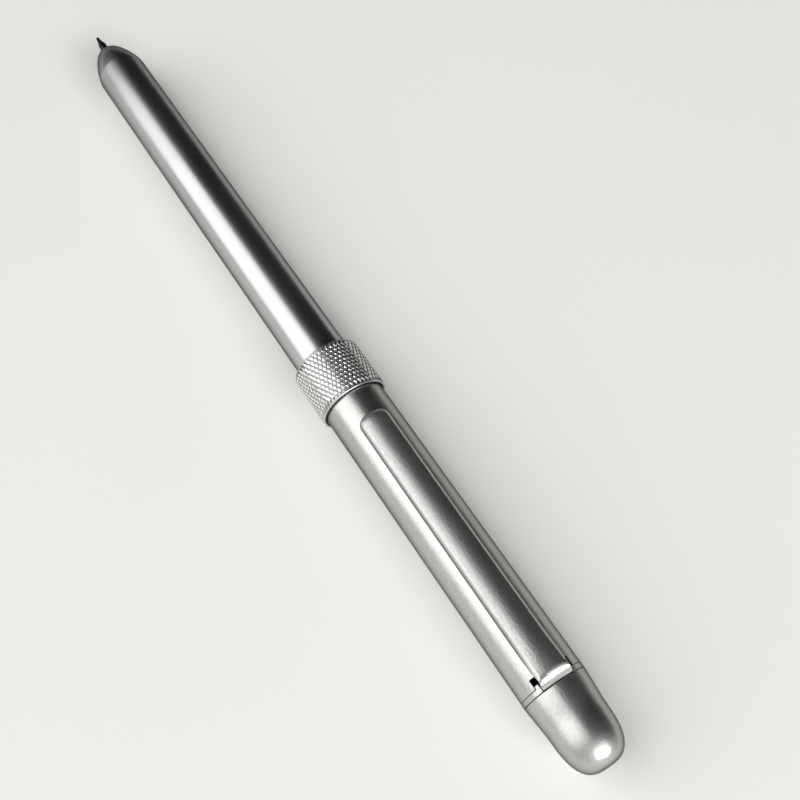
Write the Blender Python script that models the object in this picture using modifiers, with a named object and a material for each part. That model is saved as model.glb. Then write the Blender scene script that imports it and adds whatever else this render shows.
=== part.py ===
"""Twist-action multifunction pen: a ballpoint and a mechanical pencil in one metal barrel.

The pen lies along X with its tip at +X and its clip upwards. Stations along the pen are
measured from the end of the cap towards the tip, in millimetres, and named with at_.
"""
import math

import bmesh
import bpy
from mathutils import Vector

MM = 0.001

# Outside of the pen
cap_length = 11.0
cap_dome = 6.9
cap_taper = 0.35
collar_width = 0.75
rear_length = 46.5
rear_wall = 0.55
ring_length = 7.9
ring_step = 0.62
front_spare = 6.05
front_step = 0.53
front_wall = 0.50
nose_length = 5.75
nose_end_radius = 1.80
nose_rim = 0.25
nose_fullness = 1.34
tip_out = 4.70

# Knurl of the ring
knurl_around = 48
knurl_rows = 13
knurl_depth = 0.24
knurl_lip = 0.42

# Clip
clip_end_width = 4.6
clip_root_width = 4.3
clip_thickness = 0.6
clip_end_round = 1.8
clip_end_gap = 4.35
clip_rise = 0.42
clip_flare = 0.25
clip_crown_radius = 4.2
clip_bend_radius = 0.9
notch_width = 5.6
notch_depth = 1.35

# Writing units
refill_length = 67.0
refill_radius = 1.175
refill_wall = 0.395
lane_gap = 1.05
travel = 9.6
nib_length = 3.0
flange_length = 1.0
return_wire = 0.30
return_turns = 6

# Mechanism in the middle and the rear of the pen
press_stroke = 1.0
coupler_wall = 0.25
plate = 1.5
pin_radius = 0.40
pin_depth = 0.70
black_spring_space = 4.9
press_spring_space = 3.5
press_wire = 0.34
press_turns = 2.75
cam_wall = 1.3
plug_length = 8.0
spigot_length = 5.5
plug_shoulder = 0.58
eraser_wall = 1.30
eraser_out = 2.1

# Clearances
slide_gap = 0.10
unit_gap = 0.15
seat_gap = 0.20
cam_gap = 0.16
ring_gap = 0.20
nib_gap = 0.20
flange_gap = 0.39

# Facets around a turned piece
BIG = 36
MEDIUM = 24
SMALL = 16

# Radii that follow from the sizes above
unit_offset = refill_radius + lane_gap
front_bore = unit_offset + refill_radius + unit_gap
front_radius = front_bore + front_wall
rear_radius = front_radius + front_step
rear_bore = rear_radius - rear_wall
ring_radius = rear_radius + ring_step
cap_dome_radius = rear_radius - cap_taper
nose_hole_radius = nose_end_radius - nose_rim
refill_bore = refill_radius - refill_wall
nib_radius = refill_bore - nib_gap
stem_radius = nib_radius
follower_radius = stem_radius + 0.02
spring_bore = refill_radius - 0.025
collar_radius = spring_bore - slide_gap
journal_radius = rear_bore - slide_gap
coupler_bore = journal_radius - coupler_wall
guide_radius = coupler_bore - slide_gap
thread_radius = front_bore - slide_gap
thread_bore = unit_offset + stem_radius + 0.2
recess_radius = rear_radius + ring_gap
spigot_radius = rear_bore - plug_shoulder
eraser_radius = spigot_radius - eraser_wall

# Stations that follow from the sizes above, from the cap's end towards the tip
at_collar = cap_length
at_rear_barrel = at_collar + collar_width
at_ring = at_rear_barrel + rear_length
at_front_edge = at_ring + ring_length
front_length = refill_length + front_spare
at_nose = at_front_edge + front_length
at_tip = at_nose + tip_out
ring_recess = press_stroke + 3.1
at_shoulder = at_ring + ring_recess
rear_tuck = ring_recess - press_stroke - 0.5
at_coupler_step = at_shoulder
at_coupler_seat = at_coupler_step - 0.5
at_guide_front = at_coupler_seat - press_spring_space
at_plate = at_guide_front - plate
at_coupler_rear = at_guide_front - 3.4
at_pin = at_guide_front - 1.9
at_journal_front = at_coupler_rear - press_stroke - seat_gap
unit_tilt = math.asin(unit_offset / refill_length)
at_black_nib = at_tip - refill_length * math.cos(unit_tilt)
at_pencil_nib = at_black_nib - travel
at_coupler_front = at_pencil_nib - flange_length - flange_gap
collar_thickness = 1.5
at_black_collar = at_plate - black_spring_space
at_pencil_collar = at_black_collar - travel
at_guide_rear = at_pencil_collar - collar_thickness - 0.3
cam_slope = travel / (math.pi * unit_offset)
cam_space = follower_radius * (math.sqrt(1 + cam_slope ** 2) - 1) + cam_gap
at_ridge = at_guide_rear - cam_space
at_valley = at_ridge - travel
at_hub_front = at_valley - 0.5
at_retainer = at_guide_rear + 3.0
at_plug_front = at_rear_barrel + seat_gap + plug_length
at_plug_rear = at_rear_barrel + seat_gap
at_hub_rear = at_plug_front + seat_gap
at_spigot_end = at_collar - spigot_length
pen_length = at_tip
pen_height = ring_radius


def world_x(station):
    """World X in metres of a station along the pen."""
    return (station - pen_length / 2) * MM


def clear_scene():
    """Empty the scene and make one collection for the pen and one for its cutters."""
    for item in list(bpy.data.objects):
        bpy.data.objects.remove(item, do_unlink=True)
    for name in ("multifunction_pen", "cutters"):
        collection = bpy.data.collections.new(name)
        bpy.context.scene.collection.children.link(collection)


def material(name, colour, roughness, metallic):
    """A Principled material with one colour."""
    made = bpy.data.materials.new(name)
    made.use_nodes = True
    shader = made.node_tree.nodes["Principled BSDF"]
    shader.inputs["Base Color"].default_value = (*colour, 1.0)
    shader.inputs["Roughness"].default_value = roughness
    shader.inputs["Metallic"].default_value = metallic
    return made


def add_object(name, data, paint=None, parent=None, collection="multifunction_pen"):
    """Link a new object, paint it and hang it on its frame."""
    made = bpy.data.objects.new(name, data)
    bpy.data.collections[collection].objects.link(made)
    if paint:
        made.data.materials.append(paint)
    made.parent = parent
    return made


def frame_at(name, station, height=0.0, tilt=0.0):
    """An empty on a joint's axis whose Z runs along the pen towards the tip."""
    made = add_object(name, None)
    made.empty_display_size = 4 * MM
    made.location = (world_x(station), 0.0, (pen_height + height) * MM)
    made.rotation_euler = (0.0, math.pi / 2 - tilt, 0.0)
    return made


def turned(name, profile, facets, paint, parent, closed=True):
    """A turned piece. The profile holds (station, radius) pairs relative to its frame.

    It runs down the outside from the tip's end, then back up the bore where there is one.
    """
    mesh = bpy.data.meshes.new(name)
    points = [(radius * MM, 0.0, station * MM) for station, radius in profile]
    count = len(points)
    edges = [(i, i + 1) for i in range(count - 1)]
    if closed:
        edges.append((count - 1, 0))
    mesh.from_pydata(points, edges, [])
    made = add_object(name, mesh, paint, parent)
    screw = made.modifiers.new("turn", "SCREW")
    screw.axis = "Z"
    screw.angle = 2 * math.pi
    screw.steps = facets
    screw.render_steps = facets
    screw.use_merge_vertices = True
    screw.merge_threshold = 0.000005
    screw.use_smooth_shade = True
    return made


def rod(name, profile, facets, paint, parent):
    """A turned solid whose profile starts and ends on its own axis."""
    return turned(name, profile, facets, paint, parent, closed=False)


def tube(station_front, station_rear, outside, bore):
    """Profile of a plain tube."""
    return [
        (station_front, outside),
        (station_rear, outside),
        (station_rear, bore),
        (station_front, bore),
    ]


def bar(station_front, station_rear, radius, chamfer=0.0):
    """Profile of a plain rod with chamfered ends."""
    return [
        (station_front, 0.0),
        (station_front, radius - chamfer),
        (station_front - chamfer, radius),
        (station_rear + chamfer, radius),
        (station_rear, radius - chamfer),
        (station_rear, 0.0),
    ] if chamfer else [
        (station_front, 0.0),
        (station_front, radius),
        (station_rear, radius),
        (station_rear, 0.0),
    ]


def fullness_curve(share, power):
    """Height of a superellipse quarter, 0 to 1, at a share of its length."""
    return (1.0 - (1.0 - share) ** power) ** (1.0 / power)


def made_mesh(source):
    """The evaluated mesh of an object, welded, in the object's own axes."""
    bpy.context.view_layer.update()
    graph = bpy.context.evaluated_depsgraph_get()
    mesh = bpy.data.meshes.new_from_object(source.evaluated_get(graph))
    work = bmesh.new()
    work.from_mesh(mesh)
    bmesh.ops.remove_doubles(work, verts=work.verts, dist=0.000002)
    work.to_mesh(mesh)
    work.free()
    return mesh


def fix_shape(made):
    """Turn an object's modifiers into plain mesh, so that its points can be moved."""
    mesh = made_mesh(made)
    old = made.data
    made.modifiers.clear()
    made.data = mesh
    bpy.data.meshes.remove(old)
    return mesh


def cutter(made):
    """Move an object to the cutters and hide it."""
    bpy.data.collections["multifunction_pen"].objects.unlink(made)
    bpy.data.collections["cutters"].objects.link(made)
    made.hide_render = True
    made.display_type = "WIRE"
    return made


def box_cutter(name, low, high):
    """A box between two corners, each (station, across, height over the axis)."""
    bpy.ops.mesh.primitive_cube_add(size=1.0)
    made = bpy.context.object
    made.name = name
    for collection in list(made.users_collection):
        collection.objects.unlink(made)
    bpy.data.collections["multifunction_pen"].objects.link(made)
    size = [(b - a) * MM for a, b in zip(low, high)]
    centre = [(a + b) / 2 for a, b in zip(low, high)]
    for vertex in made.data.vertices:
        vertex.co = Vector(c * s for c, s in zip(vertex.co, size))
    made.location = (world_x(centre[0]), centre[1] * MM, (pen_height + centre[2]) * MM)
    return cutter(made)


def cut(made, tool):
    """Take a cutter out of an object."""
    boolean = made.modifiers.new("cut_" + tool.name, "BOOLEAN")
    boolean.operation = "DIFFERENCE"
    boolean.solver = "EXACT"
    boolean.object = tool


def coil(name, radius, wire, turns, start, length, paint, parent):
    """A spring: one helix of round wire along Z, its wire ends within start and length."""
    per_turn = 9
    count = int(round(turns * per_turn)) + 1
    rise = length - wire
    points = []
    for i in range(count):
        share = i / (count - 1)
        angle = 2 * math.pi * turns * share
        height = start + wire / 2 + rise * share
        points.append(Vector((radius * math.cos(angle), radius * math.sin(angle), height)))
    curve = bpy.data.curves.new(name, "CURVE")
    curve.dimensions = "3D"
    curve.bevel_depth = wire / 2 * MM
    curve.bevel_resolution = 1
    curve.use_fill_caps = True
    spline = curve.splines.new("POLY")
    spline.points.add(count - 1)
    for target, point in zip(spline.points, points):
        target.co = (*(point * MM), 1.0)
    drawn = add_object(name + "_wire", curve, None, parent)
    mesh = made_mesh(drawn)
    bpy.data.objects.remove(drawn, do_unlink=True)
    mesh.materials.clear()
    made = add_object(name, mesh, paint, parent)
    far = range(per_turn // 2 + 1, count)
    gap = min((points[i] - points[i + k]).length for k in far for i in range(count - k)) - wire
    print(f"{name}: least gap between its turns {gap:.2f} mm")
    return made


clear_scene()
satin = material("satin_metal", (0.66, 0.66, 0.65), 0.34, 1.0)
knurl_metal = material("knurled_metal", (0.70, 0.70, 0.69), 0.28, 1.0)
clip_metal = material("clip_metal", (0.62, 0.62, 0.61), 0.30, 1.0)
brass = material("brass", (0.70, 0.52, 0.24), 0.35, 1.0)
steel = material("steel", (0.56, 0.57, 0.58), 0.25, 1.0)
spring_steel = material("spring_steel", (0.45, 0.46, 0.48), 0.30, 1.0)
black_plastic = material("black_plastic", (0.03, 0.03, 0.035), 0.45, 0.0)
grey_plastic = material("grey_plastic", (0.32, 0.33, 0.34), 0.50, 0.0)
ink_tube = material("ink_tube", (0.62, 0.50, 0.28), 0.30, 1.0)
graphite = material("graphite", (0.07, 0.07, 0.08), 0.40, 0.2)
rubber = material("eraser_rubber", (0.86, 0.85, 0.82), 0.85, 0.0)

body_axis = frame_at("front_body_axis", 0.0)
press_axis = frame_at("press_axis", at_guide_front)
twist_axis = frame_at("twist_axis", at_ring)
cap_axis = frame_at("cap_axis", at_collar)
black_axis = frame_at("black_slide_axis", at_black_nib, -unit_offset)
black_pivot = frame_at("black_pivot", at_black_nib, -unit_offset, unit_tilt)
pencil_axis = frame_at("pencil_slide_axis", at_pencil_nib, unit_offset)
pencil_pivot = frame_at("pencil_pivot", at_pencil_nib, unit_offset)


def build_front_barrel():
    """Bullet-nosed tube. Its bore narrows to a funnel that leads either point to the nose hole."""
    tail = at_coupler_step + seat_gap
    outside = [(at_nose, nose_end_radius - 0.12)]
    steps = 10
    for i in range(steps + 1):
        share = i / steps
        rise = (front_radius - nose_end_radius) * fullness_curve(share, nose_fullness)
        outside.append((at_nose - 0.12 - nose_length * share, nose_end_radius + rise))
    outside.append((tail, front_radius))
    stowed = travel - tip_out - press_stroke
    bore = [
        (tail, front_bore),
        (at_nose - stowed - 9.6, front_bore),
        (at_nose - stowed - 5.6, unit_offset + 1.14),
        (at_nose - stowed - 2.0, unit_offset + 0.83),
        (at_nose - stowed, unit_offset + 0.62),
        (at_nose - 1.20, nose_hole_radius + 0.50),
        (at_nose - 0.30, nose_hole_radius + 0.02),
        (at_nose - 0.10, nose_hole_radius),
        (at_nose, nose_hole_radius + 0.06),
    ]
    return turned("front_barrel", outside + bore, BIG, satin, body_axis)


def build_knurled_ring():
    """Grip ring with crossed knurling: rows of points around it, every other one a peak."""
    first = at_front_edge - knurl_lip
    last = at_ring + knurl_lip
    low = ring_radius - knurl_depth
    profile = [(at_front_edge, low - 0.30), (at_front_edge - 0.28, low)]
    for row in range(knurl_rows):
        profile.append((first + (last - first) * row / (knurl_rows - 1), low))
    profile += [
        (at_ring + 0.24, ring_radius - 0.06),
        (at_ring, ring_radius - 0.20),
        (at_ring, recess_radius),
        (at_shoulder, recess_radius),
        (at_shoulder, front_radius + 0.08),
        (at_front_edge, front_radius + 0.08),
    ]
    made = turned("knurled_ring", profile, 2 * knurl_around, knurl_metal, body_axis)
    mesh = fix_shape(made)
    work = bmesh.new()
    work.from_mesh(mesh)
    pitch = (first - last) / (knurl_rows - 1)
    peaks = set()
    rows = {}
    for vertex in work.verts:
        station = vertex.co.z / MM
        radius = math.hypot(vertex.co.x, vertex.co.y) / MM
        row = round((first - station) / pitch)
        if abs(first - row * pitch - station) > 0.01 or abs(radius - low) > 0.01:
            continue
        if not 0 <= row < knurl_rows:
            continue
        rows[vertex] = row
        column = round(math.atan2(vertex.co.y, vertex.co.x) / math.pi * knurl_around)
        if (row + column) % 2 == 0 and 0 < row < knurl_rows - 1:
            peaks.add(vertex)
    for vertex in peaks:
        growth = ring_radius / low
        vertex.co.x *= growth
        vertex.co.y *= growth
    for face in list(work.faces):
        corners = list(face.verts)
        if len(corners) == 4 and all(v in rows for v in corners):
            grooves = [v for v in corners if (v not in peaks)]
            if len(grooves) == 4:
                continue
            if corners[0] in peaks or corners[2] in peaks:
                pair = (corners[1], corners[3])
            else:
                pair = (corners[0], corners[2])
            bmesh.utils.face_split(face, *pair)
    work.to_mesh(mesh)
    work.free()
    return made


def build_centre_coupler():
    """Stepped sleeve: journal for the rear barrel, thread for the front barrel, spring seat inside."""
    profile = [
        (at_coupler_front, thread_radius - 0.15),
        (at_coupler_front - 0.3, thread_radius),
        (at_coupler_step, thread_radius),
        (at_coupler_step, journal_radius),
        (at_coupler_rear, journal_radius),
        (at_coupler_rear, coupler_bore),
        (at_coupler_seat, coupler_bore),
        (at_coupler_seat, thread_bore),
        (at_coupler_front, thread_bore),
    ]
    made = turned("centre_coupler", profile, BIG, brass, body_axis)
    cut(made, cutter(side_pin("pin_hole", pin_radius + 0.05, 1.0, ring_radius, None)))
    return made


def side_pin(name, radius, inner, outer, paint):
    """A round pin across the pen, on the side towards +Y, between two distances from the axis."""
    mesh = bpy.data.meshes.new(name)
    work = bmesh.new()
    bmesh.ops.create_cone(
        work,
        cap_ends=True,
        segments=12,
        radius1=radius * MM,
        radius2=radius * MM,
        depth=(outer - inner) * MM,
    )
    work.to_mesh(mesh)
    work.free()
    made = add_object(name, mesh, paint)
    made.location = (world_x(at_pin), (inner + outer) / 2 * MM, pen_height * MM)
    made.rotation_euler = (math.pi / 2, 0.0, 0.0)
    return made


def build_guide_pin():
    """Pin in the coupler's wall. It runs in a slot of the carrier, which can slide but not turn."""
    return side_pin("guide_pin", pin_radius, guide_radius - pin_depth, journal_radius - 0.05, steel)


def build_press_spring():
    """Short wide coil between the carrier's front face and the coupler's seat."""
    radius = (thread_bore + coupler_bore) / 2
    length = press_spring_space - 2 * slide_gap
    start = at_guide_front + slide_gap
    return coil("press_spring", radius, press_wire, press_turns, start, length, spring_steel, body_axis)


def build_refill_guide():
    """Carrier with two drilled chambers, one for each slider and its spring."""
    groove = at_retainer
    back = at_guide_front
    profile = [
        (at_guide_front, 0.0),
        (at_guide_front, guide_radius),
        (at_journal_front, guide_radius),
        (at_journal_front, journal_radius),
        (groove + 0.5, journal_radius),
        (groove + 0.5, journal_radius - 0.35),
        (groove - 0.5, journal_radius - 0.35),
        (groove - 0.5, journal_radius),
        (at_guide_rear, journal_radius),
        (at_guide_rear, 0.0),
    ]
    profile = [(station - back, radius) for station, radius in profile]
    made = rod("refill_guide", profile, BIG, brass, press_axis)
    for side, name in ((-1, "black"), (1, "pencil")):
        lane = frame_at(name + "_lane", at_guide_front, side * unit_offset)
        stem_hole = stem_radius + slide_gap + 0.04
        drill = [
            (1.0, 0.0),
            (1.0, stem_hole),
            (at_plate - back, stem_hole),
            (at_plate - back, spring_bore),
            (at_guide_rear - back - 1.0, spring_bore),
            (at_guide_rear - back - 1.0, 0.0),
        ]
        cut(made, cutter(rod(name + "_drill", drill, SMALL, None, lane)))
    half = pin_radius + slide_gap
    low = (at_pin - half - press_stroke, guide_radius - pin_depth - slide_gap, -half)
    high = (at_pin + half, ring_radius, half)
    cut(made, box_cutter("pin_slot", low, high))
    return made


def build_retaining_ring():
    """Split ring in the carrier's groove. It runs in a groove of the rear barrel."""
    front = at_retainer + 0.4 - at_guide_front
    rear = at_retainer - 0.4 - at_guide_front
    profile = tube(front, rear, rear_bore + 0.17, journal_radius - 0.27)
    made = turned("retaining_ring", profile, BIG, steel, press_axis)
    low = (at_retainer - 2.0, -0.9, -ring_radius)
    high = (at_retainer + 2.0, 0.9, -1.0)
    cut(made, box_cutter("ring_split", low, high))
    return made


def build_slider(name, parent, at_nib, at_slider_collar):
    """Push rod: nib for the refill, stem, spring collar, and a round nose that rides on the cam."""
    collar_front = at_slider_collar - at_nib
    collar_rear = collar_front - collar_thickness
    nose = at_ridge + cam_space - at_black_nib
    profile = [(nib_length, 0.0), (nib_length, nib_radius - 0.15), (nib_length - 0.3, nib_radius)]
    profile += [
        (-seat_gap, nib_radius),
        (-seat_gap, refill_bore + 0.22),
        (-flange_length, refill_bore + 0.22),
        (-flange_length, stem_radius),
        (collar_front, stem_radius),
        (collar_front, collar_radius),
        (collar_rear, collar_radius),
        (collar_rear, follower_radius),
    ]
    for i in range(4):
        angle = math.pi / 2 * i / 4
        station = nose + follower_radius * (1 - math.sin(angle))
        profile.append((station, follower_radius * math.cos(angle)))
    profile.append((nose, 0.0))
    return rod(name, profile, SMALL, black_plastic, parent)


def build_return_spring(name, parent, at_nib, at_slider_collar):
    """Coil on a slider's stem, from its collar to the carrier's front plate."""
    start = at_slider_collar - at_nib + slide_gap
    length = at_plate - at_slider_collar - 2 * slide_gap
    radius = stem_radius + 0.16 + return_wire / 2
    return coil(name, radius, return_wire, return_turns, start, length, spring_steel, parent)


def build_black_refill():
    """Ink tube with a stepped metal point and its ball, tilted so that the tip is on the pen's axis."""
    end = refill_length
    joint = end - 9.0
    turned("black_refill_tube", tube(joint, 0.0, refill_radius, refill_bore), SMALL, ink_tube, black_pivot)
    point = [
        (end - 0.15, 0.24),
        (end - 0.20, 0.29),
        (end - 1.95, 0.54),
        (end - 2.00, 0.58 * refill_radius),
        (end - 4.40, 0.66 * refill_radius),
        (end - 5.60, 0.83 * refill_radius),
        (joint + 0.10, 0.94 * refill_radius),
        (joint + 0.10, refill_bore - slide_gap),
        (joint - 3.5, refill_bore - slide_gap),
        (joint - 3.5, 0.35),
        (end - 2.4, 0.35),
        (end - 0.50, 0.24),
    ]
    turned("black_point", point, SMALL, steel, black_pivot)
    ball = []
    for i in range(7):
        angle = math.pi * i / 6
        radius = 0.0 if i in (0, 6) else 0.20 * math.sin(angle)
        ball.append((end - 0.20 + 0.20 * math.cos(angle), radius))
    rod("black_ball", ball, 12, spring_steel, black_pivot)


def build_pencil_unit():
    """Mechanical pencil the size of a refill: body, cone, sleeve, collet with its ring and spring, tank."""
    end = refill_length
    base = end - 13.0
    share = refill_radius
    turned("pencil_body", tube(base - slide_gap, 0.0, refill_radius, 0.83 * share), SMALL, steel, pencil_pivot)
    cone = [
        (end - 2.6, 0.51 * share),
        (end - 6.0, 0.73 * share),
        (end - 10.5, 0.96 * share),
        (base, 0.98 * share),
        (base, 0.78 * share),
        (end - 5.9, 0.78 * share),
        (end - 5.6, 0.43 * share),
        (end - 2.6, 0.43 * share),
    ]
    turned("pencil_cone", cone, SMALL, steel, pencil_pivot)
    turned("lead_sleeve", tube(end, end - 5.4, 0.41, 0.31), 12, steel, pencil_pivot)
    rod("pencil_lead", bar(end - 0.3, end - 32.0, 0.25), 10, graphite, pencil_pivot)
    chuck = [
        (end - 6.3, 0.34 * share),
        (end - 7.2, 0.63 * share),
        (end - 7.5, 0.63 * share),
        (end - 8.4, 0.43 * share),
        (end - 16.5, 0.43 * share),
        (end - 16.5, 0.28 * share),
        (end - 6.3, 0.28 * share),
    ]
    turned("chuck", chuck, 12, brass, pencil_pivot)
    turned("chuck_ring", tube(end - 8.6, end - 9.6, 0.70 * share, 0.51 * share), 12, brass, pencil_pivot)
    spring_space = 4.0
    coil("feed_spring", 0.60 * share, 0.16, 6, base - 0.8, spring_space, spring_steel, pencil_pivot)
    turned("lead_tank", tube(base - 1.4, 8.0, 0.73 * share, 0.53 * share), 12, grey_plastic, pencil_pivot)


def build_rear_barrel():
    """Twisting barrel: bore, retaining groove, and the notch that lets the clip out."""
    front = at_ring + rear_tuck - at_ring
    rear = at_rear_barrel - at_ring
    groove = at_retainer - at_ring
    profile = [
        (front, rear_radius - 0.12),
        (front - 0.12, rear_radius),
        (rear + 0.06, rear_radius),
        (rear, rear_radius - 0.06),
        (rear, rear_bore),
        (groove - 0.5, rear_bore),
        (groove - 0.5, rear_bore + 0.26),
        (groove + 0.5, rear_bore + 0.26),
        (groove + 0.5, rear_bore),
        (front, rear_bore),
    ]
    made = turned("rear_barrel", profile, BIG, satin, twist_axis)
    low = (at_rear_barrel - 2.0, -notch_width / 2, 1.0)
    high = (at_rear_barrel + notch_depth, notch_width / 2, ring_radius)
    cut(made, box_cutter("clip_notch", low, high))
    return made


def build_selector_cam():
    """Ramp tube on a hub. Its front edge falls evenly from the ridge to the valley on both sides."""
    inner = unit_offset - cam_wall / 2
    outer = unit_offset + cam_wall / 2
    base = at_ring
    profile = [
        (at_valley - base, outer),
        (at_hub_front - base, outer),
        (at_hub_front - base, rear_bore - 0.05),
        (at_hub_rear - base, rear_bore - 0.05),
        (at_hub_rear - base, inner - 0.4),
        (at_hub_front - base, inner - 0.4),
        (at_hub_front - base, inner),
        (at_valley - base, inner),
    ]
    made = turned("selector_cam", profile, 48, grey_plastic, twist_axis)
    for vertex in fix_shape(made).vertices:
        if vertex.co.z > (at_valley - base - 0.1) * MM:
            from_ridge = abs(math.atan2(vertex.co.y, vertex.co.x))
            vertex.co.z += travel * (1 - from_ridge / math.pi) * MM
    return made


def build_tail_plug():
    """Plug in the barrel's end. Its spigot carries the collar and the cap, and holds the eraser."""
    base = at_ring
    socket = eraser_radius + 0.5
    profile = [
        (at_plug_front - base, 2.4),
        (at_plug_front - base, rear_bore - 0.2),
        (at_plug_front - 0.3 - base, rear_bore - 0.05),
        (at_plug_rear - base, rear_bore - 0.05),
        (at_plug_rear - base, spigot_radius),
        (at_spigot_end + 0.3 - base, spigot_radius),
        (at_spigot_end - base, spigot_radius - 0.3),
        (at_spigot_end - base, socket),
        (at_spigot_end + 4.4 - base, socket),
        (at_spigot_end + 4.4 - base, 1.0),
        (at_plug_front - 4.0 - base, 1.0),
        (at_plug_front - 4.0 - base, 2.4),
    ]
    made = turned("tail_plug", profile, 32, brass, twist_axis)
    low = (at_rear_barrel, -clip_root_width / 2 - 0.15, spigot_radius - 0.25)
    high = (at_plug_rear + clip_thickness + 0.3, clip_root_width / 2 + 0.15, ring_radius)
    cut(made, box_cutter("clip_seat", low, high))
    return made


def build_clip_collar():
    """Narrow band between the barrel's end and the cap."""
    base = at_ring
    profile = tube(at_rear_barrel - 0.04 - base, at_collar + 0.04 - base, rear_radius, spigot_radius + slide_gap)
    return turned("clip_collar", profile, BIG, satin, twist_axis)


def build_eraser():
    """Eraser in its ferrule, in the end of the plug."""
    base = at_ring
    deep = at_spigot_end + 4.2 - base
    ferrule = tube(deep, at_spigot_end - 0.6 - base, eraser_radius + 0.38, eraser_radius + 0.10)
    turned("eraser_ferrule", ferrule, MEDIUM, steel, twist_axis)
    rod("eraser", bar(deep - 0.2, at_spigot_end - eraser_out - base, eraser_radius, 0.4), MEDIUM, rubber, twist_axis)


def build_cap():
    """Domed end cap. Its bore slides on the plug's spigot."""
    bore = spigot_radius + 0.12
    base = at_collar
    inner_end = min(1.9, at_spigot_end - eraser_out - 0.5)
    profile = [
        (inner_end - base, 0.0),
        (inner_end - base, bore - 0.9),
        (inner_end + 0.9 - base, bore),
        (-0.04, bore),
        (-0.04, rear_radius - 0.06),
        (-0.10, rear_radius),
    ]
    steps = 10
    for i in range(1, steps):
        station = cap_dome * (1 - math.cos(math.pi / 2 * (1 - i / steps)))
        radius = cap_dome_radius * fullness_curve(station / cap_dome, 2.95)
        profile.append((station - base, radius))
    profile.insert(6, (cap_dome - base, cap_dome_radius))
    profile.append((-base, 0.0))
    return rod("cap", profile, BIG, satin, cap_axis)


def clip_path():
    """Middle line of the clip's sheet from its foot to its free end.

    Each entry is (station, height over the axis, direction, half width, crown share).
    """
    foot = at_rear_barrel + clip_thickness / 2 + 0.08
    arm_height = rear_radius + clip_rise + clip_thickness / 2
    bend_centre = arm_height - clip_bend_radius
    root_half = clip_root_width / 2
    end_half = clip_end_width / 2
    path = [(foot, spigot_radius - 0.05, math.pi / 2, root_half, 0.0)]
    for i in range(6):
        angle = math.pi / 2 * i / 5
        station = foot + clip_bend_radius * (1 - math.cos(angle))
        height = bend_centre + clip_bend_radius * math.sin(angle)
        path.append((station, height, math.pi / 2 - angle, root_half, i / 5))
    start = foot + clip_bend_radius
    finish = at_ring - clip_end_gap
    span = finish - clip_end_round - start
    steps = 8
    for i in range(1, steps + 1):
        share = i / steps
        lift = clip_flare * max(0.0, share - 0.5) ** 2 * 4
        half = root_half + (end_half - root_half) * share
        path.append((start + span * share, arm_height + lift, 0.0, half, 1.0))
    for i in range(1, 6):
        angle = math.pi / 2 * i / 5.4
        station = finish - clip_end_round * (1 - math.sin(angle))
        path.append((station, arm_height + clip_flare, 0.0, end_half * math.cos(angle), 1.0))
    return path


def build_clip():
    """Sprung sheet clip with a rounded crown. It turns down through the notch into the plug."""
    across = 8
    pivot = (clip_path()[0][0], rear_radius - 0.1)
    points = []
    for station, height, direction, half, crown in clip_path():
        for k in range(across + 1):
            side = half * (2 * k / across - 1)
            drop = clip_crown_radius - math.sqrt(clip_crown_radius ** 2 - side ** 2)
            drop *= crown
            along = station + math.sin(direction) * drop - pivot[0]
            up = height - math.cos(direction) * drop - pivot[1]
            points.append((along * MM, side * MM, up * MM))
    rows = len(points) // (across + 1)
    faces = []
    for r in range(rows - 1):
        for k in range(across):
            a = r * (across + 1) + k
            faces.append((a, a + across + 1, a + across + 2, a + 1))
    mesh = bpy.data.meshes.new("clip")
    mesh.from_pydata(points, [], faces)
    made = add_object("clip", mesh, clip_metal)
    made.location = (world_x(pivot[0]), 0.0, (pen_height + pivot[1]) * MM)
    sheet = made.modifiers.new("sheet", "SOLIDIFY")
    sheet.thickness = clip_thickness * MM
    sheet.offset = 0.0
    sheet.use_even_offset = True
    return made


build_front_barrel()
build_knurled_ring()
build_centre_coupler()
build_guide_pin()
build_press_spring()
build_refill_guide()
build_retaining_ring()
build_slider("black_slider", black_axis, at_black_nib, at_black_collar)
build_return_spring("black_spring", black_axis, at_black_nib, at_black_collar)
build_slider("pencil_slider", pencil_axis, at_pencil_nib, at_pencil_collar)
build_return_spring("pencil_spring", pencil_axis, at_pencil_nib, at_pencil_collar)
build_black_refill()
build_pencil_unit()
build_rear_barrel()
build_selector_cam()
build_tail_plug()
build_clip_collar()
build_eraser()
build_cap()
build_clip()
print(f"pen {pen_length:.1f} mm long, ring {2 * ring_radius:.2f} mm, refill offset {unit_offset:.2f} mm")
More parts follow.
